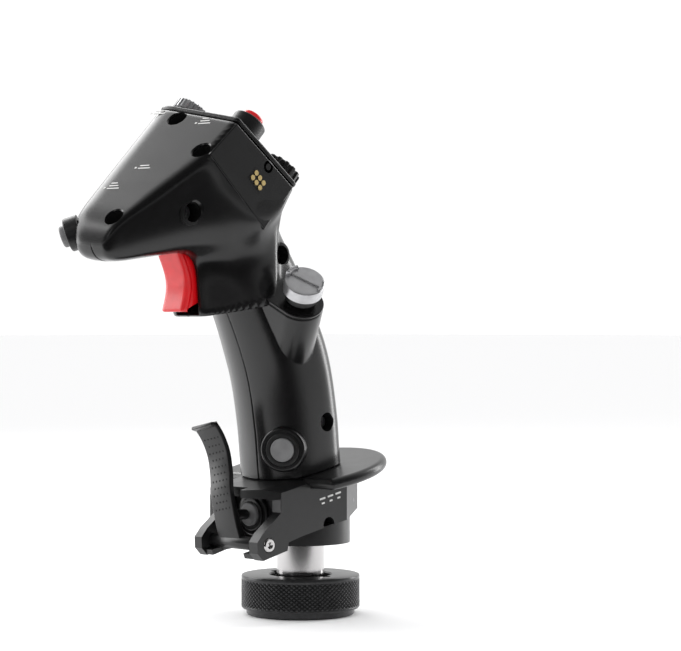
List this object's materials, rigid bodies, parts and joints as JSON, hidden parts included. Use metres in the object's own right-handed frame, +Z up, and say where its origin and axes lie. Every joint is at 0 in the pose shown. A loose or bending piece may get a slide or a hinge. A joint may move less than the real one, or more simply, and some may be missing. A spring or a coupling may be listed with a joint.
{
  "type": "flight joystick grip",
  "caption": "Right-hand flight stick grip with trigger, thumb hats, side hat, pinky button and paddle, on a post with a knurled ring nut.",
  "frame": {"origin": "on the post's axis at the mouth of the ring nut", "axes": "+Z up the post, +Y forward away from the pilot, +X to the pilot's right"},
  "size_m": [0.0723, 0.1396, 0.198],
  "materials": {
    "shell_black": "satin moulded black",
    "metal_black": "satin black coat on aluminium",
    "knurl_black": "black anodised, diamond knurl",
    "chrome": "polished",
    "steel": "turned",
    "silver": "fine satin",
    "red": "satin red",
    "grey_cap": "matt grey",
    "black_cap": "matt black",
    "gold": "gold plated",
    "nylon": "natural nylon",
    "board_green": "solder mask",
    "socket_cream": "connector body"
  },
  "bodies": {
    "grip": {"shell_left": "shell_black", "shell_right": "shell_black", "head_screws": "steel", "base_left": "metal_black", "base_right": "metal_black", "base_screws": "steel", "collar": "metal_black", "collar_set_screw": "steel", "hand_rest": "metal_black", "post": "chrome", "post_flange": "steel", "connector_plug": "black_cap", "connector_pins": "gold", "thumb_plate": "shell_black", "trim_hat_switch": "black_cap", "target_hat_switch": "black_cap", "display_hat_switch": "black_cap", "release_bezel": "metal_black", "release_switch": "black_cap", "nose_bezel": "metal_black", "nose_switch": "black_cap", "trigger_pin": "steel", "trigger_switch_first": "black_cap", "trigger_switch_second": "black_cap", "contact_block": "shell_black", "contact_pads": "gold", "module_insert": "steel", "side_hat_pod": "shell_black", "side_hat_bezel": "metal_black", "side_hat_switch": "black_cap", "pod_screws": "steel", "pinky_collar": "metal_black", "pinky_switch": "black_cap", "paddle_axle": "chrome", "plunger_ring": "metal_black", "plunger_switch": "black_cap", "main_board": "board_green", "board_socket": "socket_cream"},
    "nut_carrier": {"nut_washer": "nylon"},
    "ring_nut": {"knurled_nut": "knurl_black", "nut_grub_screw": "steel"},
    "trigger": {"trigger": "red"},
    "paddle": {"paddle": "metal_black"},
    "paddle_plunger": {"paddle_plunger": "grey_cap"},
    "pinky_button": {"pinky_button": "grey_cap"},
    "release_button": {"release_button": "red"},
    "nose_button": {"nose_button": "grey_cap"},
    "trim_gimbal": {"trim_hat_gimbal": "steel"},
    "trim_hat": {"trim_hat": "silver"},
    "target_gimbal": {"target_hat_gimbal": "steel"},
    "target_hat": {"target_hat": "black_cap"},
    "display_gimbal": {"display_hat_gimbal": "steel"},
    "display_hat": {"display_hat": "black_cap"},
    "side_hat_slider": {"side_hat_slider": "nylon"},
    "side_hat_gimbal": {"side_hat_gimbal": "steel"},
    "side_hat": {"side_hat": "silver"}
  },
  "joints": [
    {"name": "nut_slide", "type": "slide", "parent": "grip", "child": "nut_carrier", "axis": [0, 0, 1], "range_m": [0, 0.012]},
    {"name": "nut_spin", "type": "hinge", "parent": "nut_carrier", "child": "ring_nut", "pos_m": [0, 0, 0.0113], "axis": [0, 0, 1], "continuous": true},
    {"name": "trigger_pull", "type": "hinge", "parent": "grip", "child": "trigger", "pos_m": [0, 0.058, 0.147], "axis": [-1, 0, 0], "range_deg": [0, 12], "stiffness_Nm_per_rad": 0.5},
    {"name": "paddle_squeeze", "type": "hinge", "parent": "grip", "child": "paddle", "pos_m": [0, 0.0354, 0.0302], "axis": [1, 0, 0], "range_deg": [0, 8], "stiffness_Nm_per_rad": 0.5},
    {"name": "plunger_press", "type": "slide", "parent": "grip", "child": "paddle_plunger", "axis": [0, -1, 0], "range_m": [0, 0.0016]},
    {"name": "pinky_press", "type": "slide", "parent": "grip", "child": "pinky_button", "axis": [0.5701, -0.8201, 0.05], "range_m": [0, 0.0015], "stiffness_N_per_m": 400},
    {"name": "release_press", "type": "slide", "parent": "grip", "child": "release_button", "axis": [0.1269, 0.6107, -0.7816], "range_m": [0, 0.0016], "stiffness_N_per_m": 400},
    {"name": "nose_press", "type": "slide", "parent": "grip", "child": "nose_button", "axis": [-0.6993, -0.6394, 0.3197], "range_m": [0, 0.0015], "stiffness_N_per_m": 400},
    {"name": "trim_hat_tilt_fore_aft", "type": "hinge", "parent": "grip", "child": "trim_gimbal", "pos_m": [0.01388, 0.04883, 0.18673], "axis": [0.9919, -0.0782, 0.1], "range_deg": [-7, 7], "stiffness_Nm_per_rad": 0.05},
    {"name": "trim_hat_tilt_sideways", "type": "hinge", "parent": "trim_gimbal", "child": "trim_hat", "pos_m": [0.01388, 0.04883, 0.18673], "axis": [0, 0.788, 0.6157], "range_deg": [-7, 7], "stiffness_Nm_per_rad": 0.05},
    {"name": "target_hat_tilt_fore_aft", "type": "hinge", "parent": "grip", "child": "target_gimbal", "pos_m": [-0.00892, 0.02543, 0.16475], "axis": [0.9919, -0.0782, 0.1], "range_deg": [-7, 7], "stiffness_Nm_per_rad": 0.05},
    {"name": "target_hat_tilt_sideways", "type": "hinge", "parent": "target_gimbal", "child": "target_hat", "pos_m": [-0.00892, 0.02543, 0.16475], "axis": [0, 0.788, 0.6157], "range_deg": [-7, 7], "stiffness_Nm_per_rad": 0.05},
    {"name": "display_hat_tilt_fore_aft", "type": "hinge", "parent": "grip", "child": "display_gimbal", "pos_m": [0.01138, 0.02833, 0.17031], "axis": [0.9919, -0.0782, 0.1], "range_deg": [-7, 7], "stiffness_Nm_per_rad": 0.05},
    {"name": "display_hat_tilt_sideways", "type": "hinge", "parent": "display_gimbal", "child": "display_hat", "pos_m": [0.01138, 0.02833, 0.17031], "axis": [0, 0.788, 0.6157], "range_deg": [-7, 7], "stiffness_Nm_per_rad": 0.05},
    {"name": "side_hat_press", "type": "slide", "parent": "grip", "child": "side_hat_slider", "axis": [0.593, -0.346, -0.727], "range_m": [0, 0.0008], "stiffness_N_per_m": 500},
    {"name": "side_hat_tilt_fore_aft", "type": "hinge", "parent": "side_hat_slider", "child": "side_hat_gimbal", "pos_m": [-0.02362, 0.02356, 0.11882], "axis": [0.2187, 0.9382, -0.2681], "range_deg": [-5, 5], "stiffness_Nm_per_rad": 0.05},
    {"name": "side_hat_tilt_sideways", "type": "hinge", "parent": "side_hat_gimbal", "child": "side_hat", "pos_m": [-0.02362, 0.02356, 0.11882], "axis": [-0.7749, 0, -0.6321], "range_deg": [-5, 5], "stiffness_Nm_per_rad": 0.05}
  ],
  "couplings": [
    {"joint": "plunger_press", "follows": "paddle_squeeze", "m_per_rad": 0.01}
  ]
}
